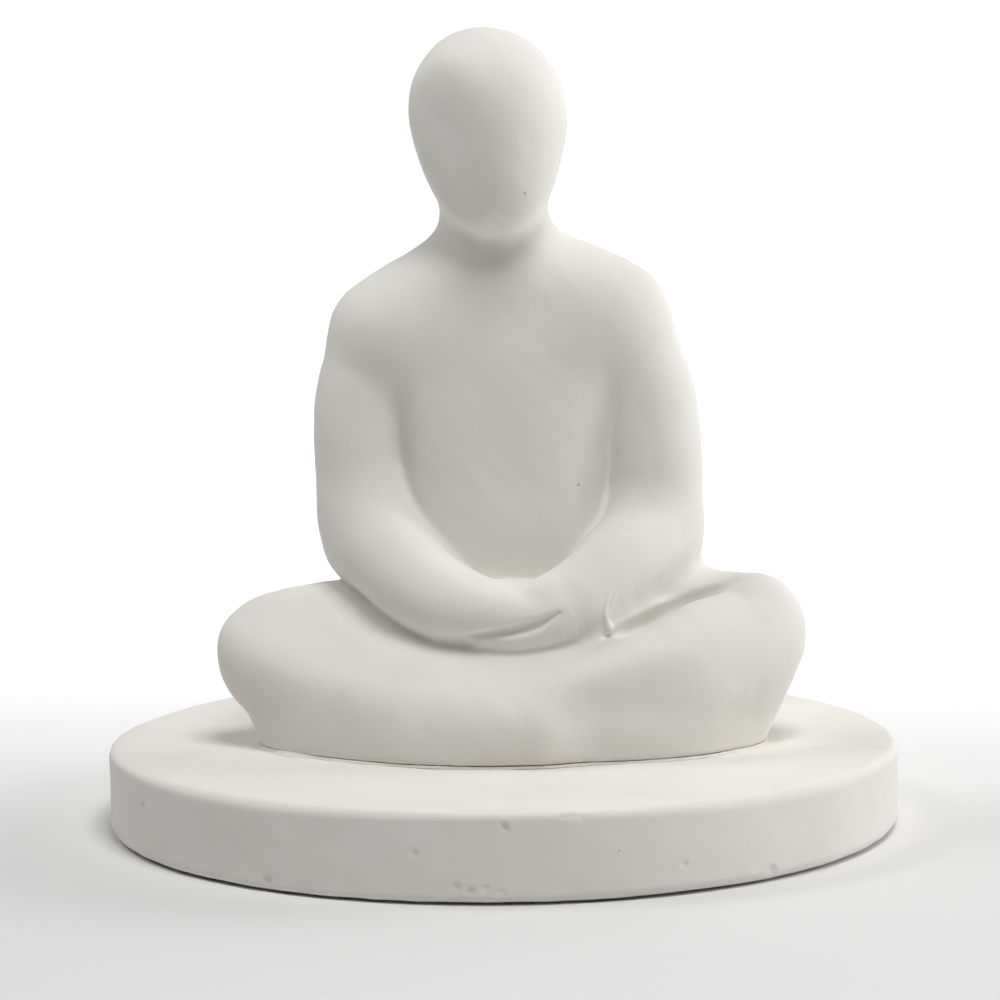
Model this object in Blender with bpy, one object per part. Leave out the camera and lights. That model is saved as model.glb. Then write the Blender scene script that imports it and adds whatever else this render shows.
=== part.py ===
"""Seated meditating figure on a round plinth: a two-piece plaster casting, in metres, +Z up, facing -Y.

The figure is cast on its own, bedded on the plinth with wet plaster and located by two wooden
dowels. Four felt discs sit in shallow pockets under the plinth.
"""
import math

import bmesh
import bpy
from mathutils import Matrix, Vector

# ---------------------------------------------------------------- driving dimensions
GAP = 0.0003                 # kept between pieces that touch
PLINTH_RADIUS = 0.090
PLINTH_THICKNESS = 0.0186
PLINTH_ROUNDING = 0.002
FELT_PROUD = 0.0004          # how far the felt stands below the plinth
FELT_RADIUS = 0.008
FELT_THICKNESS = 0.0016
FELT_CIRCLE = 0.066          # radius of the circle that the pads stand on
BEDDING_THICKNESS = 0.0008
BEDDING_SPREAD = 0.0008      # how far the bedding squeezes out past the figure
DOWEL_RADIUS = 0.004
DOWEL_LENGTH = 0.024
DOWEL_CHAMFER = 0.0006
DOWEL_IN_PLINTH = 0.010
DOWEL_SPACING = 0.036
DOWEL_Y = 0.006
FIGURE_VOXEL = 0.0017
FIGURE_TRIANGLES = 9000

PLINTH_BOTTOM = FELT_PROUD
PLINTH_TOP = PLINTH_BOTTOM + PLINTH_THICKNESS
BEDDING_BOTTOM = PLINTH_TOP + GAP
FIGURE_BOTTOM = BEDDING_BOTTOM + BEDDING_THICKNESS + GAP

# ---------------------------------------------------------------- the figure's masses
# Millimetres from the centre of the plinth's top face. A limb is a run of balls, each given as
# x, y, z and radius, with the skin stretched between one and the next.
NECK = [(0.4, 6.5, 90, 14), (0, 5, 104, 13.2), (-0.8, 3, 112, 12.8), (-1, 1.5, 124, 12.5)]
SHOULDERS = [(-25, 3, 91.5, 12.2), (-13, 4, 102, 11.8), (0, 5, 105, 11.4), (13, 4, 103.5, 11.8),
             (25, 3, 94.5, 12.2)]
RIGHT_UPPER_ARM = [(-25.5, 3.5, 91, 12.3), (-30, 2.5, 78, 11.5), (-31.8, 0.5, 64, 10.8), (-30, -0.5, 46, 11)]
RIGHT_FOREARM = [(-29.3, -1, 50, 11), (-26, -8, 44, 11), (-19.5, -15, 38, 10.2), (-12, -21, 33.2, 8.8)]
RIGHT_HAND = [(-12, -21, 33.2, 8.8), (-6, -24.3, 31.6, 7.4), (2, -26.6, 30.4, 6.2), (10, -27, 30.4, 5.2)]
LEFT_UPPER_ARM = [(25.3, 3.5, 94.2, 12.3), (32, 2.5, 80, 11.8), (34.6, 0.5, 65, 11.4), (34, -0.5, 50, 11.2)]
LEFT_FOREARM = [(33.6, -1, 51, 11.2), (31, -8, 44.5, 11), (25, -15, 38.8, 10.2), (18, -21, 34, 8.8)]
LEFT_HAND = [(18, -21, 34, 8.8), (11, -25, 31.2, 7.2), (3, -27.6, 27.6, 5.4), (-6, -28.4, 26.4, 4.6)]
RIGHT_THIGH = [(-18, 2, 18, 17), (-28, -3.5, 18.5, 17), (-38, -5.5, 19.5, 15.4), (-50.5, -8, 20.5, 12.7)]
RIGHT_SHIN = [(-50.5, -9, 19.5, 12.7), (-40, -18, 13.5, 12.4), (-26, -27, 9, 12), (-8, -31, 6.5, 11.6),
              (6, -32, 6, 10.6)]
LEFT_THIGH = [(18, 2, 21, 18), (32, -3, 21.5, 17), (45, -5, 24.5, 14), (56.6, -6, 27, 11)]
LEFT_SHIN = [(56.4, -8, 26.5, 11), (53.4, -11.5, 20.5, 13.2), (42, -18.5, 16.5, 12.4), (30, -24.5, 13.2, 12.2),
             (16, -29, 9.5, 11.9), (2, -30, 7, 10.7)]
LIMBS = [NECK, SHOULDERS, RIGHT_UPPER_ARM, RIGHT_FOREARM, RIGHT_HAND, LEFT_UPPER_ARM, LEFT_FOREARM,
         LEFT_HAND, RIGHT_THIGH, RIGHT_SHIN, LEFT_THIGH, LEFT_SHIN]
# Rounded masses, each a centre and three half sizes.
MASSES = [
    ((1.5, -1.5, 4), (54, 35.5, 13.5)),      # what the thighs rest on
    ((-1, -15, 14), (37, 20, 13.5)),         # the lap, which the hands rest on
    ((2, -20.5, 31), (13, 8, 7.5)),          # the palms
]
# Levels of the trunk: height, half width, half depth, how far back its middle is, squareness.
TRUNK_MIDDLE = 1.0
TRUNK_LEVELS = [(0, 42, 28.5, 10, 2.2), (8, 43, 29, 10, 2.2), (24, 38.5, 27, 9, 2.2), (38, 30, 21.5, 6, 2.4),
                (52, 25.3, 17.8, 3.5, 2.6), (66, 25, 16.3, 2.5, 2.8), (80, 27.8, 15.8, 2.5, 2.8),
                (92, 29.8, 15.3, 3, 2.5), (102, 24, 13.8, 4, 2.3), (108, 15, 10, 5, 2.2)]
TRUNK_SIDES = 40
# The head is an egg, wider above its middle, with its chin carried forward and its crown to the left.
HEAD_CENTRE = Vector((-1.8, -1.0, 137.2))
HEAD_HALF_SIZES = Vector((18.0, 20.4, 23.7))
HEAD_SWELL = 0.2
HEAD_LEAN = 1.0
CHIN_FORWARD = 1.7
MM = 0.001


def clear_scene():
    for old in list(bpy.data.objects):
        bpy.data.objects.remove(old, do_unlink=True)


def plain_material(name, colour, roughness):
    made = bpy.data.materials.new(name)
    made.use_nodes = True
    shader = made.node_tree.nodes["Principled BSDF"]
    shader.inputs["Base Color"].default_value = (*colour, 1.0)
    shader.inputs["Roughness"].default_value = roughness
    shader.inputs["Metallic"].default_value = 0.0
    return made


def add_object(name, bm, made=None, smooth=True):
    mesh = bpy.data.meshes.new(name)
    bm.normal_update()
    bm.to_mesh(mesh)
    bm.free()
    if smooth:
        mesh.shade_smooth()
        mesh.set_sharp_from_angle(angle=math.radians(40))
    if made:
        mesh.materials.append(made)
    obj = bpy.data.objects.new(name, mesh)
    bpy.context.scene.collection.objects.link(obj)
    return obj


def make_cutter(obj):
    obj.hide_render = True
    obj.display_type = "WIRE"
    return obj


def cut(obj, cutter, label, operation="DIFFERENCE"):
    step = obj.modifiers.new(label, "BOOLEAN")
    step.operation = operation
    step.solver = "EXACT"
    step.object = cutter


def add_cylinder(bm, centre, radius, bottom, top, segments):
    place = Matrix.Translation((centre[0], centre[1], (bottom + top) / 2))
    return bmesh.ops.create_cone(bm, cap_ends=True, segments=segments, radius1=radius,
                                 radius2=radius, depth=top - bottom, matrix=place)


# ---------------------------------------------------------------- small round pieces
def felt_places():
    """Centre of each pad with its name, starting at the front left."""
    names = ("front_left", "front_right", "back_right", "back_left")
    for turn, name in enumerate(names):
        angle = math.radians(225 + 90 * turn)
        yield name, (FELT_CIRCLE * math.cos(angle), FELT_CIRCLE * math.sin(angle))


def dowel_places():
    yield "left", (-DOWEL_SPACING / 2, DOWEL_Y)
    yield "right", (DOWEL_SPACING / 2, DOWEL_Y)


def make_felt_pads(felt):
    for name, centre in felt_places():
        bm = bmesh.new()
        add_cylinder(bm, centre, FELT_RADIUS, 0.0, FELT_THICKNESS, 48)
        add_object(f"felt_pad_{name}", bm, felt)


def make_dowels(wood):
    bottom = PLINTH_TOP - DOWEL_IN_PLINTH + GAP
    for name, centre in dowel_places():
        bm = bmesh.new()
        add_cylinder(bm, centre, DOWEL_RADIUS, bottom, bottom + DOWEL_LENGTH, 48)
        dowel = add_object(f"dowel_{name}", bm, wood)
        chamfer = dowel.modifiers.new("end_chamfer", "BEVEL")
        chamfer.width = DOWEL_CHAMFER
        chamfer.segments = 1
        chamfer.angle_limit = math.radians(60)


def make_dowel_bores(bottom, top, name):
    """One cutter for both dowel holes, from bottom to top."""
    bm = bmesh.new()
    for _, centre in dowel_places():
        add_cylinder(bm, centre, DOWEL_RADIUS + GAP, bottom, top, 48)
    return make_cutter(add_object(name, bm, smooth=False))


# ---------------------------------------------------------------- plinth
def make_plinth(plaster):
    bm = bmesh.new()
    add_cylinder(bm, (0, 0), PLINTH_RADIUS, PLINTH_BOTTOM, PLINTH_TOP, 160)
    plinth = add_object("plinth", bm, plaster)
    rounding = plinth.modifiers.new("edge_rounding", "BEVEL")
    rounding.width = PLINTH_ROUNDING
    rounding.segments = 4
    rounding.angle_limit = math.radians(60)
    sockets = make_dowel_bores(PLINTH_TOP - DOWEL_IN_PLINTH, PLINTH_TOP + 0.005, "plinth_socket_cutter")
    cut(plinth, sockets, "dowel_sockets")
    bm = bmesh.new()
    for _, centre in felt_places():
        add_cylinder(bm, centre, FELT_RADIUS + GAP, -0.005, FELT_THICKNESS + GAP, 48)
    cut(plinth, make_cutter(add_object("felt_pocket_cutter", bm, smooth=False)), "felt_pockets")


# ---------------------------------------------------------------- figure
def add_ball(bm, centre, half_sizes):
    """An ellipsoid in millimetres above the plinth's top; its vertices are returned."""
    place = Matrix.Translation(Vector(centre)) @ Matrix.Diagonal((*half_sizes, 1.0))
    return bmesh.ops.create_uvsphere(bm, u_segments=32, v_segments=18, radius=1.0, matrix=place)["verts"]


def add_limb(bm, stations):
    """The hull of each ball with the next, one after another."""
    for first, second in zip(stations, stations[1:]):
        ends = []
        for x, y, z, radius in (first, second):
            ends += add_ball(bm, (x, y, z), (radius, radius, radius))
        hull = bmesh.ops.convex_hull(bm, input=ends, use_existing_faces=False)
        swallowed = {item for item in hull["geom_interior"] if isinstance(item, bmesh.types.BMVert)}
        bmesh.ops.delete(bm, geom=list(swallowed), context="VERTS")


def add_trunk(bm):
    """One superellipse for each level, bridged to the next and closed at both ends."""
    rings = []
    for height, half_width, half_depth, back, squareness in TRUNK_LEVELS:
        ring = []
        for side in range(TRUNK_SIDES):
            turn = 2 * math.pi * side / TRUNK_SIDES
            x = math.copysign(abs(math.cos(turn)) ** (2 / squareness), math.cos(turn))
            y = math.copysign(abs(math.sin(turn)) ** (2 / squareness), math.sin(turn))
            ring.append(bm.verts.new((TRUNK_MIDDLE + x * half_width, back + y * half_depth, height)))
        rings.append(ring)
    for lower, upper in zip(rings, rings[1:]):
        for side in range(TRUNK_SIDES):
            ahead = (side + 1) % TRUNK_SIDES
            bm.faces.new((lower[side], lower[ahead], upper[ahead], upper[side]))
    bm.faces.new(reversed(rings[0]))
    bm.faces.new(rings[-1])


def add_head(bm):
    for vert in add_ball(bm, (0, 0, 0), (1, 1, 1)):
        height = vert.co.z
        swell = 1 + HEAD_SWELL * height
        vert.co.x = vert.co.x * HEAD_HALF_SIZES.x * swell - HEAD_LEAN * height
        vert.co.y = vert.co.y * HEAD_HALF_SIZES.y * swell - CHIN_FORWARD * (1 - height) ** 2
        vert.co.z = height * HEAD_HALF_SIZES.z
        vert.co += HEAD_CENTRE


def make_skin(name, spread, triangles):
    """One smooth skin over all the masses, standing `spread` proud of them."""
    bm = bmesh.new()
    for stations in LIMBS:
        add_limb(bm, stations)
    for centre, half_sizes in MASSES:
        add_ball(bm, centre, half_sizes)
    add_trunk(bm)
    add_head(bm)
    bmesh.ops.scale(bm, verts=bm.verts, vec=(MM, MM, MM))
    bmesh.ops.translate(bm, verts=bm.verts, vec=(0, 0, PLINTH_TOP))
    skin = add_object(name, bm)
    fuse = skin.modifiers.new("fuse", "REMESH")
    fuse.mode = "VOXEL"
    fuse.voxel_size = FIGURE_VOXEL
    fuse.use_smooth_shade = True
    soften = skin.modifiers.new("soften", "SMOOTH")
    soften.factor = 0.5
    soften.iterations = 12
    regain = skin.modifiers.new("regain", "DISPLACE")
    regain.mid_level = 0.0
    regain.strength = 0.0004 + spread
    thin_out = skin.modifiers.new("thin_out", "DECIMATE")
    thin_out.ratio = triangles / count_triangles(skin)
    return skin


def count_triangles(obj):
    evaluated = obj.evaluated_get(bpy.context.evaluated_depsgraph_get())
    mesh = evaluated.to_mesh()
    total = sum(len(face.vertices) - 2 for face in mesh.polygons)
    evaluated.to_mesh_clear()
    return total


def make_slab(bottom, top, name):
    """A wide flat block that keeps only what lies between two heights."""
    bm = bmesh.new()
    place = Matrix.Translation((0, 0, (bottom + top) / 2)) @ Matrix.Diagonal((0.4, 0.4, top - bottom, 1))
    bmesh.ops.create_cube(bm, size=1.0, matrix=place)
    return make_cutter(add_object(name, bm, smooth=False))


def make_figure(plaster):
    figure = make_skin("figure", 0.0, FIGURE_TRIANGLES)
    figure.data.materials.append(plaster)
    cut(figure, make_slab(FIGURE_BOTTOM, 0.3, "figure_slab"), "flat_base", "INTERSECT")
    top = PLINTH_TOP - DOWEL_IN_PLINTH + GAP + DOWEL_LENGTH + GAP
    cut(figure, make_dowel_bores(-0.01, top, "figure_bore_cutter"), "dowel_bores")


def make_bedding(plaster):
    bedding = make_skin("bedding_plaster", BEDDING_SPREAD, FIGURE_TRIANGLES)
    bedding.data.materials.append(plaster)
    slab = make_slab(BEDDING_BOTTOM, BEDDING_BOTTOM + BEDDING_THICKNESS, "bedding_slab")
    cut(bedding, slab, "thin_layer", "INTERSECT")
    cut(bedding, make_dowel_bores(-0.01, 0.1, "bedding_bore_cutter"), "dowel_holes")


clear_scene()
make_plinth(plain_material("plinth_plaster", (0.80, 0.79, 0.76), 0.75))
make_figure(plain_material("figure_plaster", (0.82, 0.81, 0.78), 0.72))
make_bedding(plain_material("bedding_plaster", (0.78, 0.77, 0.74), 0.85))
make_dowels(plain_material("beech", (0.55, 0.38, 0.22), 0.6))
make_felt_pads(plain_material("felt", (0.18, 0.18, 0.17), 0.95))
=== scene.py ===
# %% [markdown]
# # A seated figure in cast plaster
#
# The object is a small devotional statuette: a faceless seated figure, hands in its lap, on a
# round plinth. Both are gypsum plaster cast in rubber moulds, rubbed down by hand and left bare.
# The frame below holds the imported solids, their sizes and places. It is loaded first, because
# every surface here takes its place from it, and the box it fills is kept for comparison.

# %% Load the frame
import math

import bmesh
import bpy
import numpy as np
from mathutils import Matrix, Vector


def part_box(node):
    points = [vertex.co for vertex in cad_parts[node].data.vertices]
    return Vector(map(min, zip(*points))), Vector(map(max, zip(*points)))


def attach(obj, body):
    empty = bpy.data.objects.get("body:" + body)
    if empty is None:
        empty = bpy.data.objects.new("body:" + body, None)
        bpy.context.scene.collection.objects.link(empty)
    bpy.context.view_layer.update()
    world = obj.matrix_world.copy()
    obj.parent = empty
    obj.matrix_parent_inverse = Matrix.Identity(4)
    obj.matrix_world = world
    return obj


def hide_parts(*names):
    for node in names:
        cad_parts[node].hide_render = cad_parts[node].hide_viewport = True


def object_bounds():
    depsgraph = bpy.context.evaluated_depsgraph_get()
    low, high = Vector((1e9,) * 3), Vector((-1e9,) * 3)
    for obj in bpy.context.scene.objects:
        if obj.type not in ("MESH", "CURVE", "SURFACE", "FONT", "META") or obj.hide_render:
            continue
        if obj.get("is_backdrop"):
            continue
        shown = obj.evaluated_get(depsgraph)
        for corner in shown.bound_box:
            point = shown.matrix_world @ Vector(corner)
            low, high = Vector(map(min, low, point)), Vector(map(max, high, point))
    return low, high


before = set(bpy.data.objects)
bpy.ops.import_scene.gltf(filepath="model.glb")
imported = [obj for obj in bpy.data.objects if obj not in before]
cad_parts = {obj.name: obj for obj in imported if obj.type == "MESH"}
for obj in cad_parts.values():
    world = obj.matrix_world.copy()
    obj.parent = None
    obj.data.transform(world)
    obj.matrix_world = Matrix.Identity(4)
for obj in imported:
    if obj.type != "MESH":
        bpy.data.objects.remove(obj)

cad_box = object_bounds()
MM = 0.001
print("nodes:", sorted(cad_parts))

# %% [markdown]
# ## Places from the frame
#
# The figure is worked out in millimetres above the plinth's top face, as a sculptor measures up
# from the board, so that height is the first number to take. The plinth's radius comes from the
# frame in the same way.

# %% Read the driving sizes
plinth_low, plinth_high = (np.array(corner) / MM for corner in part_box("plinth"))
figure_low, figure_high = (np.array(corner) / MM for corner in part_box("figure"))
TOP = plinth_high[2]
PLINTH_RADIUS = (plinth_high[0] - plinth_low[0]) / 2
BASE = 0.4                    # the figure's underside, above the plinth's top
print(f"plinth top {TOP:.2f} mm, radius {PLINTH_RADIUS:.2f} mm, figure {figure_low} to {figure_high}")

# %% [markdown]
# ## Forms as distance fields
#
# A body like this has no edges: the arm sinks into the chest, the shin into the knee. It could be
# lofted piece by piece, but the seams between limbs would then have to be patched by hand. A
# field does it in one go. Each mass says how far every point of space is from its skin, less than
# nothing inside. Two masses are joined by taking the smaller distance, and where the two are
# nearly equal the join is rounded off, which is what a thumb does to wet clay. How wide that
# rounding is says how deep the crease between them looks.

# %% Rounded joins and cuts
def join(a, b, width):
    """Smooth union: the smaller distance, less a parabola where they differ by under `width`."""
    h = np.maximum(width - np.abs(a - b), 0.0) / width
    return np.minimum(a, b) - h * h * width / 4


def carve(a, b, width):
    """Smooth difference: `b` is taken away from `a`, with a lip `width` wide."""
    return -join(-a, b, width)


CLAY_JOIN = 4.0
crossing = float(-join(np.zeros(1), np.zeros(1), CLAY_JOIN)[0])
print(f"a join {CLAY_JOIN:.0f} mm wide adds {crossing:.1f} mm where two skins cross")

# %% Round masses
REACH = 26.0                  # beyond this a mass can't alter the skin, so it isn't measured


def near_only(points, low, high, measure):
    """`measure` of the points within REACH of a box, and REACH for every other point."""
    inside = ((points > np.subtract(low, REACH)) & (points < np.add(high, REACH))).all(-1)
    result = np.full(len(points), REACH, np.float32)
    result[inside] = measure(points[inside])
    return result


def blob(points, centre, half_sizes, squareness=2.0):
    """Superellipsoid: the sum of |offset / half size| to the power `squareness` is 1 on its skin.

    The distance is that sum's root less one, over the length of its gradient.
    """
    centre, half = np.asarray(centre, np.float32), np.asarray(half_sizes, np.float32)

    def measure(p):
        q = np.abs(p - centre) / half + 1e-6
        root = (q ** squareness).sum(-1) ** (1.0 / squareness)
        slope = (q ** (squareness - 1)) * (root[:, None] ** (1 - squareness)) / half
        return (root - 1.0) / (np.sqrt((slope * slope).sum(-1)) + 1e-9)

    return near_only(points, centre - half, centre + half, measure)


print("masses are measured up to", REACH, "mm away")


# %% Paths and limbs
def smooth_path(stations, steps=8):
    """Catmull-Rom curve through every station, radius included."""
    k = np.asarray(stations, float)
    k = np.vstack([2 * k[0] - k[1], k, 2 * k[-1] - k[-2]])
    a, b, c, d = k[:-3, None], k[1:-2, None], k[2:-1, None], k[3:, None]
    t = np.linspace(0, 1, steps, endpoint=False)[None, :, None]
    bend = 2 * b + (c - a) * t + (2 * a - 5 * b + 4 * c - d) * t ** 2 + (3 * b - a - 3 * c + d) * t ** 3
    return np.vstack([(bend / 2).reshape(-1, k.shape[1]), k[-2]]).astype(np.float32)


def limb(points, stations, steps=8):
    """Round limb: distance to the nearest stretch of a smooth path, less the radius there."""
    path = smooth_path(stations, steps)

    def measure(p):
        nearest = np.full(len(p), 1e9, np.float32)
        for a, b in zip(path[:-1], path[1:]):
            along = b[:3] - a[:3]
            t = np.clip(((p - a[:3]) @ along) / (along @ along), 0, 1)
            off = p - (a[:3] + t[:, None] * along)
            nearest = np.minimum(nearest, np.sqrt((off * off).sum(-1)) - (a[3] + (b[3] - a[3]) * t))
        return nearest

    spread = path[:, 3:].max()
    return near_only(points, path[:, :3].min(0) - spread, path[:, :3].max(0) + spread, measure)


print("path through 3 stations:", len(smooth_path([(0, 0), (1, 0), (1, 1)])), "points")


# %% Flat faces and easing
def plane(points, through, normal):
    """Signed distance to a flat face, more than nothing on the side its normal points to."""
    n = np.asarray(normal, np.float32)
    return (points - np.asarray(through, np.float32)) @ (n / np.linalg.norm(n))


def ease(value, start, end):
    """0 before `start`, 1 after `end`, and an S-shaped cubic between."""
    t = np.clip((value - start) / (end - start), 0, 1)
    return t * t * (3 - 2 * t)


print("ease at a quarter, half and three quarters:", ease(np.array([0.25, 0.5, 0.75]), 0, 1))

# %% [markdown]
# ## Head and neck
#
# The head is an egg, broadest above its middle, with no features at all. Its section is very
# slightly square, because the front and the sides were rubbed down as separate planes. The chin
# comes forward as the egg goes down, and the crown leans a degree or two to one side.

# %% The head and the neck
HEAD_CENTRE = (-1.8, -1.0, 137.2)
HEAD_HALF = (17.4, 20.0, 23.4)
HEAD_LEAN, CHIN_FORWARD = 1.0, 1.7
CHEEK = (-9.0, -16.9, 130), (-0.62, -0.80, -0.10)


def head(points):
    """Egg: half sizes swell with height, the centre line leans, the chin runs forward, fuller."""
    s = np.clip((points[:, 2] - HEAD_CENTRE[2]) / HEAD_HALF[2], -0.999, 0.999)
    swell = 1 + 0.215 * s - 0.03 * s * s
    x = (points[:, 0] - HEAD_CENTRE[0] + HEAD_LEAN * s) / (HEAD_HALF[0] * swell)
    y = (points[:, 1] - HEAD_CENTRE[1] + CHIN_FORWARD * (1 - s) ** 2) / (HEAD_HALF[1] * swell)
    z = (points[:, 2] - HEAD_CENTRE[2]) / HEAD_HALF[2]
    squareness = 2.2
    fullness = 2.0 + 0.5 * ease(-s, 0.0, 0.8)
    ring = (np.abs(x) ** squareness + np.abs(y) ** squareness + 1e-6) ** (1 / squareness)
    egg = ((ring ** fullness + np.abs(z) ** fullness) ** (1 / fullness) - 1) * HEAD_HALF[0]
    return carve(egg, -plane(points, *CHEEK), 3.0)


NECK = [(0.4, 6.5, 90, 14.0), (0.0, 5.0, 104, 13.0), (-0.8, 3.0, 112, 12.4), (-1.0, 1.5, 124, 12.3)]


def neck(points):
    return limb(points, NECK)


print("head:", HEAD_HALF, "mm half sizes; neck:", len(NECK), "stations")

# %% [markdown]
# ## Trunk and shoulders
#
# The trunk narrows at the waist and spreads to the seat. It could be stacked from a few masses,
# but a loft keeps its sides in one clean curve: each level is a rounded rectangle with its own
# width and depth, and a smooth curve runs through the levels. A yoke lies over it for the
# shoulders, a little lower on the figure's right.

# %% The trunk
# Height, half width, half depth, depth of the centre line and squareness of each level.
TRUNK_LEVELS = [(-10, 42, 28, 10, 2.2), (8, 43, 29, 10, 2.2), (24, 38, 27, 9, 2.2), (38, 29, 21, 6, 2.4),
                (52, 24.5, 17.5, 3.5, 2.6), (66, 24.5, 16, 2.5, 2.8), (80, 27.5, 15.5, 2.5, 2.8),
                (92, 29.5, 15, 3, 2.5), (102, 23, 13.5, 4, 2.3), (110, 15, 11, 5, 2.2)]


def trunk(points):
    """Loft: at each height a superellipse, whose sizes follow a smooth curve through the levels."""
    level = smooth_path(TRUNK_LEVELS, 8)
    z = points[:, 2]
    width, depth, back, squareness = (np.interp(z, level[:, 0], level[:, k]) for k in (1, 2, 3, 4))
    x = np.abs(points[:, 0] - 1.0) / width + 1e-6
    y = np.abs(points[:, 1] - back) / depth + 1e-6
    ring = (x ** squareness + y ** squareness) ** (1 / squareness)
    slope = np.hypot((x / ring) ** (squareness - 1) / width, (y / ring) ** (squareness - 1) / depth)
    return carve((ring - 1) / slope, 106 - z, 6)


SHOULDER_YOKE = [(-25.0, 3, 91.5, 12), (-13, 4, 101.0, 11.5), (0, 5, 103, 11.0),
                 (13, 4, 102.5, 11.5), (25.0, 3, 94.5, 12)]


def shoulders(points):
    return limb(points, SHOULDER_YOKE)


print("trunk:", len(TRUNK_LEVELS), "levels; shoulders:", len(SHOULDER_YOKE), "stations")

# %% [markdown]
# ## Arms and hands
#
# Each arm is two limbs that overlap at the elbow: a path of stations with a radius at each. The
# hands are cupped, one in the other, with the thumb tips touching. They have no separate fingers,
# only one crease where the upper hand lies in the lower, which is cut along a path of its own. A
# small forked ridge at the left wrist is like one that a tear in the rubber mould leaves.

# %% Arms and hands
# Every station is x, y, z and radius in millimetres.
RIGHT_UPPER_ARM = [(-25.5, 3.5, 91, 12.1), (-30.3, 2.5, 78, 11.5), (-31.8, 0.5, 64, 10.6),
                   (-29.4, -0.5, 46, 10.4)]
RIGHT_FOREARM = [(-28.7, -1, 50, 10.4), (-25.6, -8, 44, 10.6), (-19.5, -15, 38, 10),
                 (-12, -21, 33.2, 8.4)]
RIGHT_HAND = [(-15, -18.5, 35, 8.4), (-8, -23.5, 32.4, 7.4), (1, -26.6, 31.2, 5.6),
              (9, -26.6, 31.6, 4.2)]
RIGHT_THUMB = [(-10, -19, 37.0, 4.4), (-4, -23, 35.4, 3.8), (1.2, -26.4, 33.4, 3.0)]
LEFT_UPPER_ARM = [(25.3, 3.5, 94.2, 12.1), (32.0, 2.5, 80, 11.7), (34.4, 0.5, 65, 11.3),
                  (34.4, -0.5, 46, 11.2)]
LEFT_FOREARM = [(33.8, -1, 49, 11.1), (31, -8, 44, 10.8), (25, -15, 38.8, 10), (18, -21, 34, 8.2)]
LEFT_HAND = [(21, -18.5, 35.8, 8.4), (13, -24.2, 31.8, 7.0), (4, -26.8, 28.0, 5.2),
             (-4, -26.0, 27.2, 4.0)]
LEFT_THUMB = [(16, -20, 37.6, 4.8), (9.5, -24.4, 35.4, 4.4), (3.2, -26.8, 33.4, 3.2)]
PALMS = (2, -20.5, 31), (13, 8.0, 7.5), 2.4
HAND_CREASE = [(-8.5, -29.2, 27.2, 0.3), (-2.5, -31.2, 27.9, 1.1), (2.8, -31.8, 28.7, 1.5),
               (7.8, -31.6, 30.0, 1.4), (12.5, -31.0, 32.4, 0.2)]
FORK_STEM = [(22.9, -27.4, 29.4, 0.1), (22.6, -27.9, 32.0, 0.35), (23.6, -27.4, 36.4, 0.1)]
FORK_BRANCH = [(23.0, -27.6, 31.0, 0.2), (24.3, -27.1, 33.6, 0.25), (25.2, -26.6, 35.6, 0.05)]


def hands(points):
    """One hand lies in the other with the thumb tips touching; the palms fill in behind."""
    upper = join(limb(points, RIGHT_HAND), limb(points, RIGHT_THUMB), 2.5)
    lower = join(limb(points, LEFT_HAND), limb(points, LEFT_THUMB), 2.5)
    cupped = join(join(upper, lower, 1.0), blob(points, *PALMS), 1.5)
    return carve(cupped, limb(points, HAND_CREASE), 0.8)


def arms(points):
    """Upper arm and forearm join wide at the elbow; the ridge is laid on last, with almost no joint."""
    right = join(limb(points, RIGHT_UPPER_ARM), limb(points, RIGHT_FOREARM), 7)
    left = join(limb(points, LEFT_UPPER_ARM), limb(points, LEFT_FOREARM), 4)
    ridge = np.minimum(limb(points, FORK_STEM, 3), limb(points, FORK_BRANCH, 3))
    return join(join(np.minimum(right, left), hands(points), 1.8), ridge, 0.5)


print("arms:", len(RIGHT_UPPER_ARM + RIGHT_FOREARM + LEFT_UPPER_ARM + LEFT_FOREARM), "stations")

# %% [markdown]
# ## Crossed legs
#
# The legs are folded flat and the shins run into each other in front. Round limbs alone would
# look blown up, so each shin is rubbed down to two faces: a slope that catches the light from
# above, and a wall that stands in its own shade. Every face is a plane, taken off with a soft
# edge. The fold where the left thigh meets its shin is a groove along a path.

# %% Legs
RIGHT_THIGH = [(-18, 2, 18, 17), (-28, -3.5, 18.8, 17.2), (-38, -5.5, 21.2, 15.6), (-50.2, -8, 22.0, 12.0)]
RIGHT_SHIN = [(-50.0, -9, 19.6, 11.7), (-40, -18, 13.5, 12.9), (-26, -26.5, 9, 12.9),
              (-8, -30.5, 6.5, 12.2), (6, -31.5, 6, 10.8)]
RIGHT_KNEE_PAD = [(-50.4, -9, 20, 11.2), (-42, -11, 6, 11.6)]
LEFT_THIGH = [(18, 2, 22, 17), (32, -2, 23.5, 15), (45, -4, 26, 12.3), (56.4, -6.5, 26.6, 11.0)]
LEFT_SHIN = [(56.3, -8, 26, 11.2), (52.5, -11.5, 22.5, 12.5), (42, -17.5, 19.2, 13.8),
             (30, -23.3, 14.8, 14.4), (16, -27, 9.7, 13.3), (4, -27.5, 5.5, 10.6)]
LEFT_KNEE_PAD = [(56.6, -8, 23, 11.6), (46, -12, 4, 13)]
SHIN_FILL = [(50, -12.5, 15, 12), (38, -19, 10, 13.5), (24, -24, 7, 13)]
LEG_FOLD = [(22.5, -27.4, 26.6, 0.9), (27.2, -25.4, 28.0, 2.2), (33, -21.8, 29.4, 2.8),
            (40, -16.4, 31.2, 2.6), (47.2, -12.8, 33.8, 1.6), (52, -10.8, 36.4, 0.4)]
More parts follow.
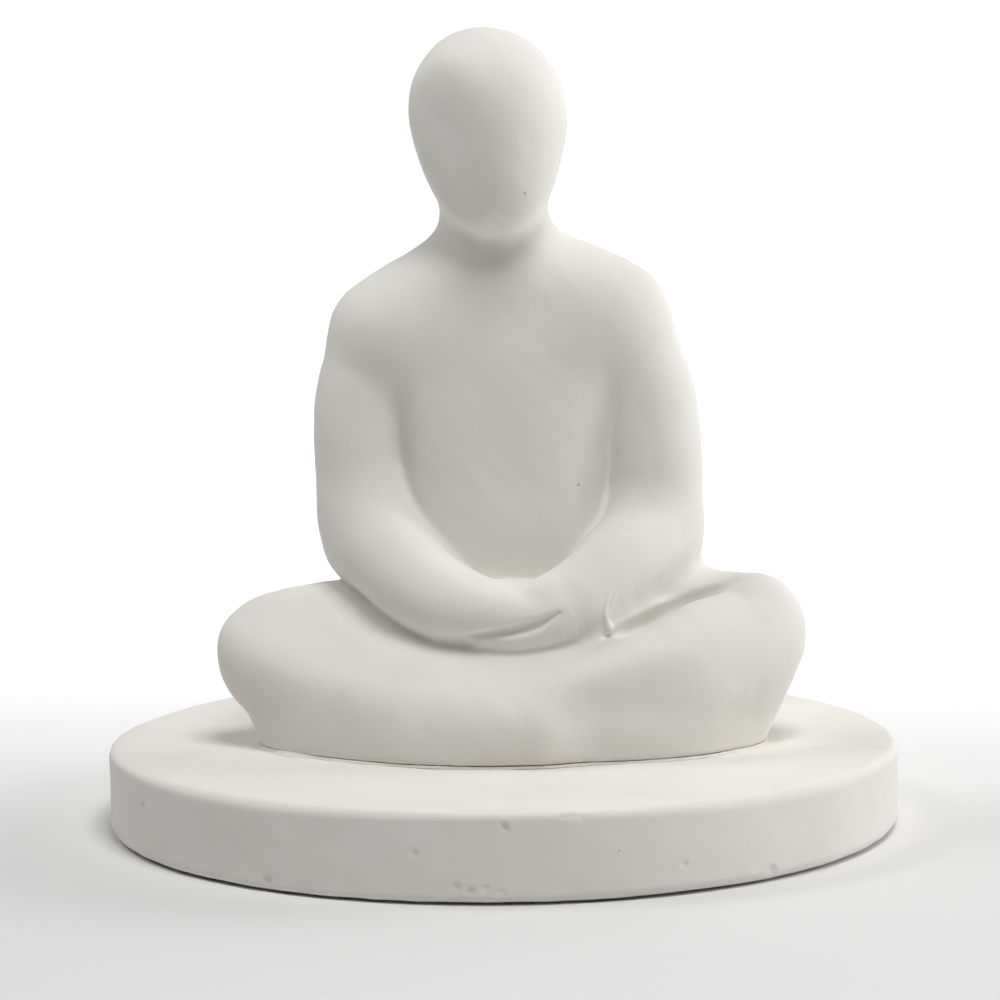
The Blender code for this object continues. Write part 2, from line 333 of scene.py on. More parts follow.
# Each face is a point on it and the direction it looks in.
RIGHT_SLOPE = (-45, -28.5, 16.2), (-0.15, -0.62, 0.77)
RIGHT_WALL = (-30, -35.4, 8), (-0.30, -0.94, 0.12)
RIGHT_KNEE_WALL = (-46.2, -24.6, 18), (-0.59, -0.80, -0.04)
LEFT_SLOPE = (30.5, -36.0, 23.2), (-0.15, -0.50, 0.85)
LEFT_WALL = (30.5, -36.4, 14), (0.12, -0.99, -0.06)
# The middles, half sizes and squareness of the two masses under the legs.
SEAT = (1.5, -2, 4), (56, 36.5, 15.5), 2.7
LAP = (-3, -15, 15), (38, 21, 14.5)


def rub_flat(mass, points, face, width):
    """Takes off everything in front of a face, and leaves an edge `width` wide."""
    return carve(mass, -plane(points, *face), width)


def legs(points):
    """Each shin sinks into its thigh, softly on the right leg and with a fold on the left."""
    right = join(limb(points, RIGHT_THIGH), limb(points, RIGHT_SHIN), 12)
    right = join(right, limb(points, RIGHT_KNEE_PAD), 3)
    right = join(right, join(blob(points, *SEAT), blob(points, *LAP), 5), 6)
    right = rub_flat(rub_flat(right, points, RIGHT_SLOPE, 3.5), points, RIGHT_WALL, 4)
    right = rub_flat(right, points, RIGHT_KNEE_WALL, 5)
    shin = join(limb(points, LEFT_SHIN), limb(points, SHIN_FILL), 6)
    shin = rub_flat(rub_flat(shin, points, LEFT_SLOPE, 3), points, LEFT_WALL, 4)
    left = join(join(limb(points, LEFT_THIGH), shin, 1.6), limb(points, LEFT_KNEE_PAD), 3)
    return join(right, carve(left, limb(points, LEG_FOLD), 2), 3)


print("legs: knees", LEFT_THIGH[-1][0] - RIGHT_THIGH[-1][0], "mm apart")

# %% [markdown]
# ## The whole figure
#
# The masses are joined in the order in which a modeller would press them on. The width of each
# joint says how far the clay was smoothed over it, and it changes along a joint where a crease
# opens: the arms run into the chest above and stand free of it at the waist. The last cut takes
# the underside flat, just above the plinth.

# %% The whole figure
def figure_field(points):
    """Every mass in turn; the arms sink into the chest high up and part from it at the waist."""
    d = join(trunk(points), shoulders(points), 10)
    d = join(d, neck(points), 7)
    d = join(d, head(points), 2.5)
    d = join(d, arms(points), 1.3 + 7.2 * ease(points[:, 2], 68, 110))
    d = join(d, legs(points), 1.5 + 5 * ease(points[:, 0], 10, 24))
    return carve(d, points[:, 2] - BASE, 0.6)


probe = np.array([HEAD_CENTRE, (0, 5, 80), (0, 0, 200)], np.float32)
print("distance to the skin in the head, in the chest and above the head:", figure_field(probe).round(1))

# %% [markdown]
# ## From field to skin
#
# A field has no faces yet. Space is divided into small boxes; every box that the skin passes
# through gets one point, at the mean of the places where the skin crosses its edges, and every
# crossed edge gets the square between its four boxes. The boxes are small round the hands and
# larger elsewhere. Each point is then pulled along the field's slope on to the skin itself.

# %% Sample a field
def field_values(field, points, batch=300_000):
    return np.concatenate([field(points[i:i + batch]) for i in range(0, len(points), batch)])


def field_slope(field, points, step=0.12):
    """Central differences along the three axes."""
    axes = np.eye(3, dtype=np.float32) * step
    return np.stack([(field(points + a) - field(points - a)) / (2 * step) for a in axes], 1)


def sample_field(field, lines, coarse=4):
    """Field on a box grid: everywhere on each fourth line, and in full only near the skin."""
    shape = tuple(len(line) for line in lines)
    rough = [line[::coarse] for line in lines]
    at = np.stack(np.meshgrid(*rough, indexing="ij"), -1).reshape(-1, 3)
    values = field_values(field, at).reshape([len(line) for line in rough])
    reach = coarse * max(np.diff(line).max() for line in lines) * 1.8
    near = np.abs(values) < reach
    for axis in range(3):
        near = near | np.roll(near, 1, axis) | np.roll(near, -1, axis)
    spread = np.ix_(*[np.repeat(np.arange(len(r)), coarse)[:n] for r, n in zip(rough, shape)])
    near, values = near[spread], values[spread].astype(np.float32)
    where = np.nonzero(near)
    values[near] = field_values(field, np.stack([line[i] for line, i in zip(lines, where)], 1))
    return values


# %% Skin a field
def skin(field, lines, pulls=3):
    """Surface nets: one vertex per crossed box, one quad per crossed edge, then pulled to zero."""
    values = sample_field(field, lines)
    inside = values < 0
    boxes = tuple(n - 1 for n in values.shape)
    corners = [(i, j, k) for i in (0, 1) for j in (0, 1) for k in (0, 1)]

    def at(array, corner):
        return array[tuple(slice(c, c + n) for c, n in zip(corner, boxes))]

    count = sum(at(inside, corner).astype(np.int8) for corner in corners)
    crossed = (count > 0) & (count < 8)
    number = np.full(boxes, -1)
    cells = np.nonzero(crossed)
    number[crossed] = np.arange(len(cells[0]))
    total, hits = np.zeros((len(cells[0]), 3)), np.zeros(len(cells[0]))
    for a in corners:
        for axis in range(3):
            if a[axis]:
                continue
            b = tuple(1 if i == axis else c for i, c in enumerate(a))
            da, db = at(values, a)[crossed], at(values, b)[crossed]
            hit = (da < 0) != (db < 0)
            t = np.where(hit, da / np.where(hit, da - db, 1), 0)
            for i, line in enumerate(lines):
                low, high = line[cells[i]], line[cells[i] + 1]
                place = a[i] + (t if i == axis else 0)
                total[:, i] += hit * (low + place * (high - low))
            hits += hit
    vertices = (total / hits[:, None]).astype(np.float32)
    quads = []
    for axis in range(3):
        u, v = (axis + 1) % 3, (axis + 2) % 3
        first, second = [slice(None)] * 3, [slice(None)] * 3
        first[axis], second[axis] = slice(0, -1), slice(1, None)
        changes = inside[tuple(first)] != inside[tuple(second)]
        edge = np.stack(np.nonzero(changes), 1)
        edge = edge[(edge[:, u] > 0) & (edge[:, v] > 0)]
        leaving = inside[tuple(edge.T)]
        ring = []
        for du, dv in ((1, 1), (0, 1), (0, 0), (1, 0)):
            cell = edge.copy()
            cell[:, u] -= du
            cell[:, v] -= dv
            ring.append(number[tuple(cell.T)])
        quad = np.stack(ring, 1)
        quads.append(np.where(leaving[:, None], quad, quad[:, ::-1]))
    for _ in range(pulls):
        slope = field_slope(field, vertices)
        steep = np.maximum((slope * slope).sum(-1), 0.2)
        vertices = vertices - (field(vertices) / steep)[:, None] * slope
    return vertices, np.vstack(quads)


BALL_RADIUS = 10.0


def ball_field(points):
    return np.linalg.norm(points, axis=1) - BALL_RADIUS


ball, ball_faces = skin(ball_field, [np.arange(-12, 13, dtype=np.float32)] * 3)
print(f"trial ball: {len(ball_faces)} faces, at most {np.abs(ball_field(ball)).max():.4f} mm off its skin")


# %% Put a skin into the scene
def add_mesh(name, vertices, faces, smooth_angle=60):
    """A mesh in place, from millimetres above the plinth's top."""
    mesh = bpy.data.meshes.new(name)
    placed = (np.asarray(vertices, float) + (0, 0, TOP)) * MM
    faces = np.asarray(faces, np.int32)
    mesh.vertices.add(len(placed))
    mesh.vertices.foreach_set("co", placed.ravel())
    mesh.loops.add(faces.size)
    mesh.loops.foreach_set("vertex_index", faces.ravel())
    mesh.polygons.add(len(faces))
    mesh.polygons.foreach_set("loop_start", np.arange(0, faces.size, faces.shape[1], dtype=np.int32))
    mesh.update(calc_edges=True)
    mesh.validate()
    mesh.shade_smooth()
    mesh.set_sharp_from_angle(angle=math.radians(smooth_angle))
    obj = bpy.data.objects.new(name, mesh)
    bpy.context.scene.collection.objects.link(obj)
    return obj


print("meshes are placed", round(TOP, 2), "mm above the shelf")

# %% [markdown]
# ## Casting the figure
#
# The rubber mould is filled once and the cast comes out with the model's own hand-made
# unevenness, a tenth of a millimetre or two over the width of a palm. Sines in random directions
# give that better than a noise texture, since they have no flat spots and cost one sum. They fade
# out at the foot so that the underside stays flat.

# %% Hand-made unevenness
def unevenness(points, wavelength, seed, waves=14):
    """Sum of sines in random directions, about one unit deep, at lengths round `wavelength`."""
    random = np.random.default_rng(seed)
    direction = random.normal(size=(3, waves))
    direction *= random.uniform(0.7, 1.4, waves) / np.linalg.norm(direction, axis=0)
    start = random.uniform(0, 2 * np.pi, waves)
    turns = np.asarray(points) @ direction * (2 * np.pi / wavelength) + start
    return np.sin(turns).sum(1) / math.sqrt(waves / 2)


line_of_points = np.outer(np.arange(0, 100, 0.5), (1, 0, 0))
print(f"unevenness along 100 mm: {unevenness(line_of_points, 24, 5).std():.2f} units deep")


# %% Cast the figure
def box_lines(low, high, cell, fine_low, fine_high, fine_cell):
    """Coordinates along one axis: `cell` apart, and `fine_cell` apart between the fine limits."""
    return np.concatenate([np.arange(low, fine_low, cell), np.arange(fine_low, fine_high, fine_cell),
                           np.arange(fine_high, high + cell, cell)]).astype(np.float32)


CELL, FINE_CELL = 1.1, 0.5    # mm; the fine boxes lie round the hands
lines = [box_lines(-72, 76, CELL, -14, 27, FINE_CELL),
         box_lines(-50, 48, CELL, -36, -18, FINE_CELL),
         box_lines(-2, 166, CELL, 21, 42, FINE_CELL)]
vertices, faces = skin(figure_field, lines)
outward = field_slope(figure_field, vertices)
outward /= np.linalg.norm(outward, axis=1, keepdims=True) + 1e-9
palm_wide, thumb_wide = unevenness(vertices, 24, 5), unevenness(vertices, 7, 6)
swell = 0.10 * palm_wide + 0.028 * thumb_wide - 0.05
vertices = vertices + outward * (swell * ease(vertices[:, 2], 0.6, 4.0))[:, None]
figure = add_mesh("cast_figure", vertices, faces)
print(f"figure: {len(vertices)} vertices, {len(faces)} faces")

# %% [markdown]
# ## The plinth
#
# A disc poured in a ring and rubbed round by hand, so it isn't truly round, and its edges are
# softened by about 2 mm, more along the lower edge on one side where it was trimmed. It is a
# profile carried round the vertical axis; radius and both roundings vary with the angle. Chips
# and burst bubbles deeper than a third of a millimetre are pressed into the mesh itself.

# %% Rings of a turned shape
SEGMENTS = 1000
angle = np.linspace(0, 2 * np.pi, SEGMENTS, endpoint=False)


def around(width, towards):
    """A bump once round the disc, 1 at `towards` degrees and nearly 0 beyond `width` degrees."""
    away = np.degrees(np.angle(np.exp(1j * (angle - math.radians(towards)))))
    return np.exp(-(away / width) ** 2)


def close_rings(rings):
    """Vertices and quads of rings, each a row of (x, y, z), joined in order from pole to pole."""
    count, segments = rings.shape[:2]
    i, j = np.meshgrid(np.arange(count - 1), np.arange(segments), indexing="ij")
    k = (j + 1) % segments
    here, below = i * segments, (i + 1) * segments
    quads = np.stack([here + j, below + j, below + k, here + k], -1)
    return rings.reshape(-1, 3), quads.reshape(-1, 4)


def disc_rings(radius, bottom, top, upper_round, lower_round, arc_steps=8, side_steps=32, face_steps=29):
    """Rings of a disc: top face, quarter round, side, quarter round, underside."""
    arc = np.linspace(0, np.pi / 2, arc_steps)[:, None]
    share = np.linspace(0, 1, face_steps, endpoint=False)[:, None]
    inwards = share[::-4]
    drop = np.linspace(0, 1, side_steps)[1:-1, None]
    side_top, side_bottom = top - upper_round, bottom + lower_round
    parts = [(share * (radius - upper_round), top + 0 * share * angle),
             (radius - upper_round + upper_round * np.sin(arc), side_top + upper_round * np.cos(arc)),
             (radius + 0 * drop, side_top + (side_bottom - side_top) * drop),
             (radius - lower_round + lower_round * np.cos(arc), side_bottom - lower_round * np.sin(arc)),
             (inwards * (radius - lower_round), bottom + 0 * inwards * angle)]
    distance = np.vstack([part[0] for part in parts])
    height = np.vstack([part[1] for part in parts])
    return np.stack([distance * np.cos(angle), distance * np.sin(angle), height], -1)


segment_length = 2 * np.pi * PLINTH_RADIUS / SEGMENTS
print(f"a turned shape has {SEGMENTS} segments, {segment_length:.2f} mm each on the plinth")


# %% Weld and press
def weld(obj, distance=1e-6):
    """Merges the rows of vertices that meet at the two poles."""
    joined = bmesh.new()
    joined.from_mesh(obj.data)
    bmesh.ops.remove_doubles(joined, verts=joined.verts, dist=distance)
    bmesh.ops.recalc_face_normals(joined, faces=joined.faces)
    joined.to_mesh(obj.data)
    joined.free()
    obj.data.shade_smooth()


def press(obj, depth_at):
    """Moves every vertex inwards along its normal by `depth_at` its place, in millimetres."""
    count = len(obj.data.vertices)
    place, normal = np.empty(count * 3, np.float32), np.empty(count * 3, np.float32)
    obj.data.vertices.foreach_get("co", place)
    obj.data.vertex_normals.foreach_get("vector", normal)
    place, normal = place.reshape(-1, 3), normal.reshape(-1, 3)
    depth = np.asarray(depth_at(place / MM - (0, 0, TOP)), np.float32)
    obj.data.vertices.foreach_set("co", (place - normal * depth[:, None] * MM).ravel())
    obj.data.update()


print("welds rows closer than a micron")

# %% Chips and bubbles
# Degrees round from the front, height below the top face, radius and depth of each chip.
CHIPS = [(0.0, 2.8, 0.95, 0.75), (7.6, 0.9, 0.8, 0.4), (8.6, 0.7, 0.9, 0.45), (10.0, 1.1, 0.8, 0.35),
         (-60.3, 6.2, 1.1, 0.6), (-11.8, 8.2, 0.9, 0.5), (-6.4, 15.0, 0.9, 0.5), (-4.6, 15.8, 1.0, 0.5),
         (-2.6, 15.3, 0.8, 0.4), (-0.6, 16.2, 0.9, 0.4), (24.0, 12.5, 0.8, 0.35), (38.0, 16.4, 1.3, 0.5),
         (-33.0, 16.6, 1.4, 0.45), (121.0, 5.0, 1.0, 0.5), (176.0, 9.5, 1.1, 0.6), (-140.0, 3.2, 1.0, 0.5)]


def plinth_depth(points):
    """Hand-rubbed unevenness, and a bowl with a soft lip for every chip."""
    depth = 0.10 + 0.05 * unevenness(points, 33, 11) + 0.03 * unevenness(points, 9, 12)
    for degrees, below, radius, deep in CHIPS:
        a = math.radians(degrees)
        centre = np.array([PLINTH_RADIUS * math.sin(a), -PLINTH_RADIUS * math.cos(a), -below])
        off = np.linalg.norm(points - centre, axis=1) / radius
        depth = depth + deep * np.clip(1 - off ** 2, 0, 1) ** 0.7
    return depth


print("chips:", len(CHIPS), "deepest", max(chip[3] for chip in CHIPS), "mm")

# %% Turn the plinth
radius = PLINTH_RADIUS - 0.12 - 0.10 * (1 + np.sin(2 * angle + 0.6)) - 0.06 * (1 + np.sin(3 * angle + 2.0))
upper_round = 1.9 + 0.5 * around(35, -35) + 0.3 * np.sin(5 * angle)
lower_round = 1.6 + 1.2 * around(40, -28) + 0.3 * around(30, -150) + 0.25 * np.sin(4 * angle + 1)
vertices, faces = close_rings(disc_rings(radius, plinth_low[2] - TOP, -0.04, upper_round, lower_round))
plinth = add_mesh("cast_plinth", vertices, faces)
weld(plinth)
press(plinth, plinth_depth)
print(f"plinth: {len(plinth.data.polygons)} faces, {len(CHIPS)} chips")

# %% [markdown]
# ## The bedding plaster
#
# The figure is set down into a smear of wet plaster, which squeezes out and is wiped off with a
# damp finger. What stays is a thin ragged fillet, fullest at the two knees where the finger
# lifts. It follows the figure's own outline just above the plinth, found by halving along rays.

# %% Outline of the figure's foot
def outline(height, centre, reach=80.0):
    """Distance from `centre` to the figure's skin at one height, in each direction, by halving."""
    direction = np.stack([np.cos(angle), np.sin(angle), 0 * angle], 1)
    low, high = np.zeros(SEGMENTS), np.full(SEGMENTS, reach)
    for _ in range(18):
        middle = (low + high) / 2
        inside = figure_field(((*centre, height) + middle[:, None] * direction).astype(np.float32)) < 0
        low, high = np.where(inside, middle, low), np.where(inside, high, middle)
    return low


BEDDING_CENTRE = (1.5, 0.0)
OUTLINE_HEIGHT = 1.0
edge = outline(OUTLINE_HEIGHT, BEDDING_CENTRE)
print(f"outline {edge.min():.1f} to {edge.max():.1f} mm from its centre")

# %% Wipe the bedding plaster
on_edge = np.stack([edge * np.cos(angle), edge * np.sin(angle), 0 * angle], 1)
ragged = 1 + 0.28 * unevenness(on_edge, 11, 21) + 0.18 * unevenness(on_edge, 3.5, 22)
fullness = 0.12 + 0.8 * around(24, 196) + 0.6 * around(24, -16) + 0.5 * around(50, 90)
reach_out = np.clip(ragged, 0.3, 1.9) * fullness
# How far past the outline, in mm and in shares of the fillet's own reach, and how high.
SKIRT = 0.36                  # below this height the smear keeps its thickness all round
FILLET = [(-3.0, 0.0, 0.34), (-0.8, 0.0, 0.36), (-0.25, 0.0, 0.75), (0.0, 0.12, 0.62), (0.0, 0.40, 0.30),
          (0.0, 0.75, 0.08), (0.0, 1.15, -0.10), (-0.5, 0.6, -0.24), (-3.0, 0.0, -0.24)]
rings = []
for inset, share, height in FILLET:
    distance = edge + inset + share * reach_out
    rise = np.minimum(height, SKIRT) + max(height - SKIRT, 0) * np.clip(ragged, 0.6, 1.4) * fullness
    rings.append(np.stack([BEDDING_CENTRE[0] + distance * np.cos(angle),
                           BEDDING_CENTRE[1] + distance * np.sin(angle), rise], 1))
middle_of = np.stack([BEDDING_CENTRE[0] + 0 * angle, BEDDING_CENTRE[1] + 0 * angle, 0 * angle], 1)
rings = [middle_of + (0, 0, 0.34)] + rings + [middle_of + (0, 0, -0.24)]
vertices, faces = close_rings(np.stack(rings))
bedding = add_mesh("wiped_bedding", vertices, faces)
weld(bedding)
print(f"bedding: {len(faces)} faces, reaching {reach_out.max():.1f} mm past the outline at most")

# %% [markdown]
# ## The felt pads
#
# Four discs of pressed wool felt keep the plaster off the shelf. Felt is punched out with a round
# die, which leaves the rim slightly domed and hairy. Each disc is the same profile with rounded
# edges, and its rim and faces are roughened by a few hundredths of a millimetre.

# %% Punch the felt pads
FELT_NODES = ["felt_pad_front_left", "felt_pad_front_right", "felt_pad_back_right", "felt_pad_back_left"]
FELT_ROUND = 0.35, 0.3
felts = []
for number, node in enumerate(FELT_NODES):
    low, high = (np.array(corner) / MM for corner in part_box(node))
    reach = (high[0] - low[0]) / 2 - 0.06
    pad = disc_rings(reach + 0 * angle, low[2] - TOP, high[2] - TOP - 0.04, FELT_ROUND[0] + 0 * angle,
                     FELT_ROUND[1] + 0 * angle, arc_steps=5, side_steps=5, face_steps=9)[:, ::8]
    vertices, faces = close_rings(pad)
    fuzz = 0.03 * (unevenness(vertices, 1.6, 31 + number) - 1)
    vertices = vertices * np.stack([1 + fuzz / reach, 1 + fuzz / reach, 1 + 0 * fuzz], 1)
    vertices += ((low[0] + high[0]) / 2, (low[1] + high[1]) / 2, 0)
    felt = add_mesh(f"punched_{node}", vertices, faces)
    weld(felt)
    felts.append(felt)
print(f"felt: {len(felts)} pads, {2 * reach:.1f} mm across")

# %% [markdown]
# ## Node helpers
#
# Every surface below is worked out by Blender's shader nodes on Object coordinates, in metres, so
# the marks stay put when the object moves. One helper adds a node and its links together.

# %% Colours and nodes
def colour(hex_value):
    """sRGB hex to linear, with an alpha of 1."""
    channels = np.array([int(hex_value[i:i + 2], 16) for i in (1, 3, 5)]) / 255
    linear = np.where(channels <= 0.04045, channels / 12.92, ((channels + 0.055) / 1.055) ** 2.4)
    return (*linear, 1.0)


def add_node(made, kind, inputs=None, **settings):
    """Adds one node; `inputs` maps an input's name or number to a value or a node's output."""
    node = made.node_tree.nodes.new(kind)
    for name, value in settings.items():
        setattr(node, name, value)
    for name, value in (inputs or {}).items():
        if isinstance(value, bpy.types.NodeSocket):
            made.node_tree.links.new(value, node.inputs[name])
        else:
            node.inputs[name].default_value = value
    return node


GYPSUM_IOR = 1.52             # wood and wool are close enough to it to share it


def new_material(name, hex_value, roughness):
    made = bpy.data.materials.new(name)
    made.use_nodes = True
    shader = made.node_tree.nodes["Principled BSDF"]
    shader.inputs["Base Color"].default_value = colour(hex_value)
    shader.inputs["Roughness"].default_value = roughness
    shader.inputs["IOR"].default_value = GYPSUM_IOR
    return made


print("mid grey, linear:", round(colour("#808080")[0], 3))

# %% [markdown]
# ## Plaster
#
# Bare gypsum is matt and very slightly warm. What shows on it are the tools: fine scratches from
# sandpaper, upright on the figure and level round the plinth; a fine tooth from the rubber mould;
# shallow strokes of a damp brush; and air holes of half a millimetre to one millimetre, some
# burst and some just under the skin. Gypsum dries a shade darker where it is denser, which
# gives a faint mottling about as wide as a finger. The heights below are in millimetres.

# %% Plaster finish
# Depths in millimetres, and how dark the painted shade in each hole is, as a share.
TOOTH_DEPTH, BRUSH_DEPTH, HOLE_DEPTH, HOLE_PAINTED_SHADE = 0.010, 0.035, 0.30, 0.55


def plaster(name, light, dark, scratch_stretch, hole_share, scratch_depth):
    """Plaster with scratches drawn out by `scratch_stretch` and holes in `hole_share` of the cells."""
    made = new_material(name, light, 0.78)
    shader = made.node_tree.nodes["Principled BSDF"]
    shader.inputs["Specular IOR Level"].default_value = 0.35
    place = add_node(made, "ShaderNodeTexCoord").outputs["Object"]
    drawn_out = add_node(made, "ShaderNodeMapping", {"Vector": place, "Scale": scratch_stretch})
    # Real scratches are about 0.1 mm wide; they are drawn 0.8 mm wide to be seen at this size.
    scratch = add_node(made, "ShaderNodeTexNoise", {"Vector": drawn_out.outputs[0], "Scale": 1200.0,
                                                    "Detail": 3.0, "Roughness": 0.6})
    # The mould's tooth is drawn half a millimetre across, which is coarser than the real one.
    tooth = add_node(made, "ShaderNodeTexNoise", {"Vector": place, "Scale": 1900.0, "Detail": 2.0})
    bent = add_node(made, "ShaderNodeMapping", {"Vector": place, "Rotation": (0.5, 0.4, 0.9),
                                                "Scale": (1, 5, 1)})
    # Brush strokes are 2 mm wide and 9 mm long.
    brush = add_node(made, "ShaderNodeTexNoise", {"Vector": bent.outputs[0], "Scale": 110.0, "Detail": 4.0,
                                                  "Roughness": 0.55, "Distortion": 0.6})
    # Patches 26 mm across were worked over with the paper a second time.
    where = add_node(made, "ShaderNodeTexNoise", {"Vector": place, "Scale": 38.0, "Detail": 1.0})
    worked = add_node(made, "ShaderNodeMapRange", {"Value": where.outputs[0], "From Min": 0.42,
                                                   "From Max": 0.62})
    # Cells 5.5 mm across, each with one hole of 0.2 to 0.47 mm radius in its middle, or none.
    cells = add_node(made, "ShaderNodeTexVoronoi", {"Vector": place, "Scale": 180.0})
    pick = add_node(made, "ShaderNodeSeparateColor", {"Color": cells.outputs["Color"]})
    wide = add_node(made, "ShaderNodeMapRange", {"Value": pick.outputs["Green"], "To Min": 0.035,
                                                 "To Max": 0.085})
    bowl = add_node(made, "ShaderNodeMapRange", {"Value": cells.outputs["Distance"], "From Min": 0.0,
                                                 "From Max": wide.outputs[0], "To Min": 1.0, "To Max": 0.0},
                    interpolation_type="SMOOTHSTEP")
    chosen = add_node(made, "ShaderNodeMath", {0: pick.outputs["Red"], 1: hole_share},
                      operation="LESS_THAN")
    hole = add_node(made, "ShaderNodeMath", {0: bowl.outputs[0], 1: chosen.outputs[0]},
                    operation="MULTIPLY")
    scored = add_node(made, "ShaderNodeMath", {0: scratch.outputs[0], 1: worked.outputs[0]},
                      operation="MULTIPLY")
    level = add_node(made, "ShaderNodeMath", {0: tooth.outputs[0], 1: TOOTH_DEPTH}, operation="MULTIPLY")
    for mark, depth in ((scratch, scratch_depth), (scored, scratch_depth),
                        (brush, BRUSH_DEPTH), (hole, -HOLE_DEPTH)):
        level = add_node(made, "ShaderNodeMath", {0: mark.outputs[0], 1: depth, 2: level.outputs[0]},
                         operation="MULTIPLY_ADD")
    relief = add_node(made, "ShaderNodeBump", {"Height": level.outputs[0], "Strength": 1.0, "Distance": MM})
    mottle = add_node(made, "ShaderNodeTexNoise", {"Vector": place, "Scale": 55.0, "Detail": 3.0})
    shade = add_node(made, "ShaderNodeMix", {"Factor": mottle.outputs[0], 6: colour(light),
                                             7: colour(dark)}, data_type="RGBA")
    # Painted shade: each hole's colour is drawn towards a dark #8F897E over its bowl, standing in for the
    # shade that falls into it.
    painted_hole_shade = add_node(made, "ShaderNodeMath", {0: hole.outputs[0], 1: HOLE_PAINTED_SHADE}, operation="MULTIPLY")
    colour_with_hole_shade = add_node(made, "ShaderNodeMix", {"Factor": painted_hole_shade.outputs[0], 6: shade.outputs[2],
                                              7: colour("#8F897E")}, data_type="RGBA")
    made.node_tree.links.new(colour_with_hole_shade.outputs[2], shader.inputs["Base Color"])
    made.node_tree.links.new(relief.outputs[0], shader.inputs["Normal"])
    return made


RUBBED_LIGHT, RUBBED_DARK = "#EDEBE6", "#E4E1DA"
figure_plaster = plaster("gypsum_plaster_rubbed_upright", RUBBED_LIGHT, RUBBED_DARK,
                         (1.0, 1.0, 0.14), 0.17, 0.013)
plinth_plaster = plaster("gypsum_plaster_rubbed_level", RUBBED_LIGHT, RUBBED_DARK,
                         (0.12, 0.12, 1.0), 0.17, 0.018)
bedding_plaster = plaster("gypsum_plaster_wiped", "#E9E6DF", "#DCD8CF", (0.5, 0.5, 0.5), 0.30, 0.030)
print("plaster:", figure_plaster.name, plinth_plaster.name, bedding_plaster.name)

# %% [markdown]
# ## Felt and beech
#
# Felt scatters light from loose fibres, so it has no gloss of its own and a little sheen. The
# dowels are glued inside the plaster and only show when the two castings are drawn apart; they
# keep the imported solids' shape and take a beech finish with its grain along the pin.

# %% Felt and beech finishes
felt_finish = new_material("pressed_wool_felt", "#4C4B48", 0.95)
shader = felt_finish.node_tree.nodes["Principled BSDF"]
shader.inputs["Sheen Weight"].default_value = 0.35
shader.inputs["Sheen Roughness"].default_value = 0.5
place = add_node(felt_finish, "ShaderNodeTexCoord").outputs["Object"]
# Clumps of fibre 0.4 mm across; single fibres, at 0.03 mm, are too fine to show.
fibre = add_node(felt_finish, "ShaderNodeTexNoise", {"Vector": place, "Scale": 2600.0, "Detail": 4.0,
                                                     "Distortion": 1.5})
tone = add_node(felt_finish, "ShaderNodeMix", {"Factor": fibre.outputs[0], 6: colour("#3C3B39"),
                                               7: colour("#66645F")}, data_type="RGBA")
hairy = add_node(felt_finish, "ShaderNodeBump", {"Height": fibre.outputs[0], "Strength": 0.7,
                                                 "Distance": 0.15 * MM})
felt_finish.node_tree.links.new(tone.outputs[2], shader.inputs["Base Color"])
felt_finish.node_tree.links.new(hairy.outputs[0], shader.inputs["Normal"])

beech_finish = new_material("turned_beech_unfinished", "#C79C6B", 0.6)
shader = beech_finish.node_tree.nodes["Principled BSDF"]
place = add_node(beech_finish, "ShaderNodeTexCoord").outputs["Object"]
# Grain lines 0.55 mm wide, drawn out seventeen times along the pin.
along = add_node(beech_finish, "ShaderNodeMapping", {"Vector": place, "Scale": (1.0, 1.0, 0.06)})
grain = add_node(beech_finish, "ShaderNodeTexNoise", {"Vector": along.outputs[0], "Scale": 1800.0,
                                                      "Detail": 3.0})
tone = add_node(beech_finish, "ShaderNodeMix", {"Factor": grain.outputs[0], 6: colour("#B98A58"),
                                                7: colour("#D6B080")}, data_type="RGBA")
beech_finish.node_tree.links.new(tone.outputs[2], shader.inputs["Base Color"])
print("finishes:", felt_finish.name, beech_finish.name)

# %% [markdown]
# ## Dressing the frame
#
# Each finished mesh now takes its material and rides on the one body there is, and the imported
# solid it takes the place of is hidden. The dowels' own solids are right as they are, so they stay and
# only their finish changes.

# %% Give each piece its finish and hide its imported solid
for piece, node, slot, finish in (
        (figure, "figure", "figure_plaster", figure_plaster),
        (plinth, "plinth", "plinth_plaster", plinth_plaster),
        (bedding, "bedding_plaster", "bedding_plaster", bedding_plaster),
        *((felt, node, "felt", felt_finish) for felt, node in zip(felts, FELT_NODES))):
    piece.data.materials.append(finish)
    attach(piece, "root")
    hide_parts(node)
for node in ("dowel_left", "dowel_right"):
    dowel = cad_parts[node]
    dowel.data.materials.clear()
    dowel.data.materials.append(beech_finish)
print("finished:", figure.name, plinth.name, bedding.name, len(felts), "pads and 2 dowels")

# %% [markdown]
# ## Studio
#
# A pale floor curves up behind the figure. Lamps alone would leave it grey, so the paper glows a
# little more the further back it lies, as if it were lit from behind, and it reads as white.

# %% Floor
FLOOR_HALF, FLOOR_BACK, CURVE, WALL_HEIGHT = 3.0, 1.2, 0.7, 3.0
sweep = np.linspace(0, np.pi / 2, 24)
run = np.concatenate([[-FLOOR_HALF, 0.0, 0.6], FLOOR_BACK + CURVE * np.sin(sweep), [FLOOR_BACK + CURVE]])
rise = np.concatenate([[0, 0, 0], CURVE - CURVE * np.cos(sweep), [WALL_HEIGHT]])
rows = len(run)
sides = np.repeat([-FLOOR_HALF, FLOOR_HALF], rows)
floor_points = np.stack([sides, np.tile(run, 2), np.tile(rise, 2)], 1)
first = np.arange(rows - 1)
floor_faces = np.stack([first, rows + first, rows + first + 1, first + 1], 1)
floor_mesh = bpy.data.meshes.new("studio_sweep")
floor_mesh.from_pydata(floor_points.tolist(), [], floor_faces.tolist())
floor_mesh.shade_smooth()
floor = bpy.data.objects.new("studio_sweep", floor_mesh)
bpy.context.scene.collection.objects.link(floor)
paper = new_material("studio_paper", "#E2E2E2", 0.9)
